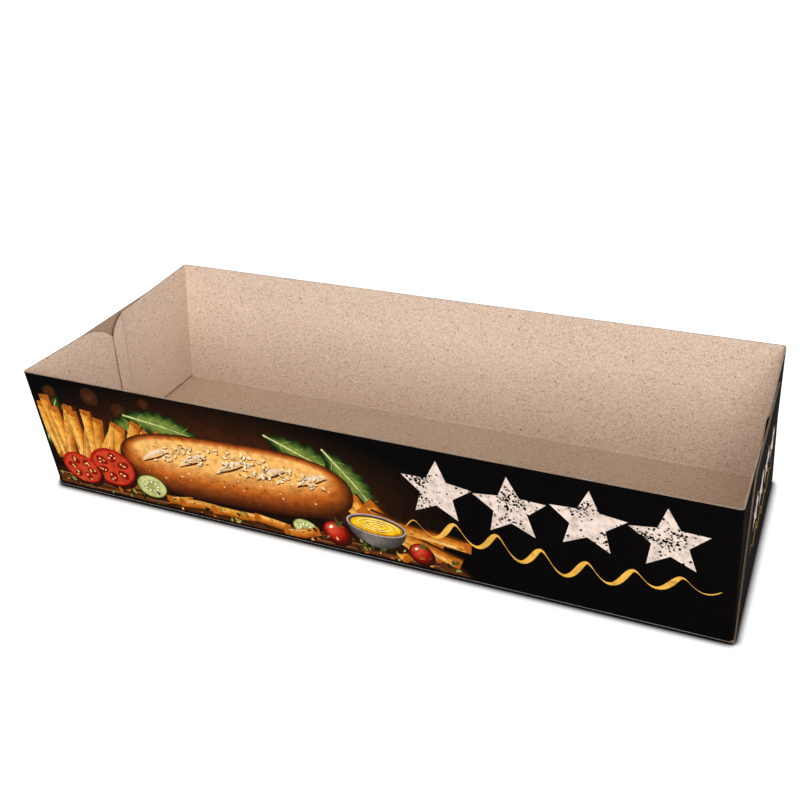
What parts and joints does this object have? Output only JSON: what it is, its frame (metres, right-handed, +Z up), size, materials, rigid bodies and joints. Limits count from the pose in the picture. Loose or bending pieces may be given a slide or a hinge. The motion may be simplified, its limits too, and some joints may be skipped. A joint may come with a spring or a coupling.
{
  "type": "hot dog box",
  "caption": "Long open-topped paperboard tray with leaning walls and glued double ends, folded from one blank to hold a filled roll.",
  "frame": {"origin": "middle of the underside", "axes": "+X along the tray, +Y towards the wall whose flaps lie on top at the ends, +Z up"},
  "size_m": [0.22, 0.09, 0.0456],
  "materials": {
    "board": "matte kraft board, printed black outside"
  },
  "bodies": {
    "root": {"tray": "board"}
  },
  "joints": []
}
